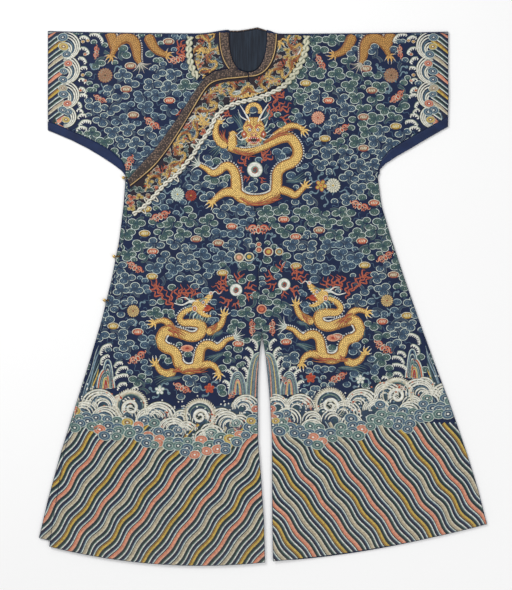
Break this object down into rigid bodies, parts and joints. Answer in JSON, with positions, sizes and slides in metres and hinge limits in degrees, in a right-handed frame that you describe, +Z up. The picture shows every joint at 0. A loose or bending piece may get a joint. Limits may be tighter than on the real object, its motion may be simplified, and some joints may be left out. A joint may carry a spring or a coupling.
{
  "type": "chinese dragon robe",
  "caption": "Lined silk robe laid flat, with a front that crosses to the wearer's right, a wide collar, ball buttons and open riding vents.",
  "frame": {"origin": "on the surface that the robe lies on, under the middle of its box", "axes": "+X towards the wearer's left, +Y from the hem to the collar, +Z up from the surface"},
  "size_m": [1.164, 1.3991, 0.0101],
  "materials": {
    "navy_silk": "satin",
    "plain_silk": "satin",
    "lining": "matte",
    "collar_silk": "satin",
    "brocade": "satin",
    "gold_cord": "satin",
    "white_cord": "matte",
    "loop_cord": "matte",
    "gilt_brass": "polished"
  },
  "bodies": {
    "root": {"left_length": "navy_silk", "right_length": "navy_silk", "overlap_front": "navy_silk", "left_gusset": "plain_silk", "right_gusset": "plain_silk", "neck_lining": "lining", "back_neck_binding": "brocade", "neck_band_left": "brocade", "neck_band_right": "brocade", "overlap_band": "brocade", "collar_left": "collar_silk", "collar_right": "collar_silk", "collar_overlap": "collar_silk", "neck_piping_left": "gold_cord", "neck_piping_right": "gold_cord", "overlap_piping": "gold_cord", "border_front": "white_cord", "border_right": "white_cord", "button_1": "gilt_brass", "button_2": "gilt_brass", "button_3": "gilt_brass", "button_loop_1": "loop_cord", "button_loop_2": "loop_cord", "button_loop_3": "loop_cord"}
  },
  "joints": []
}
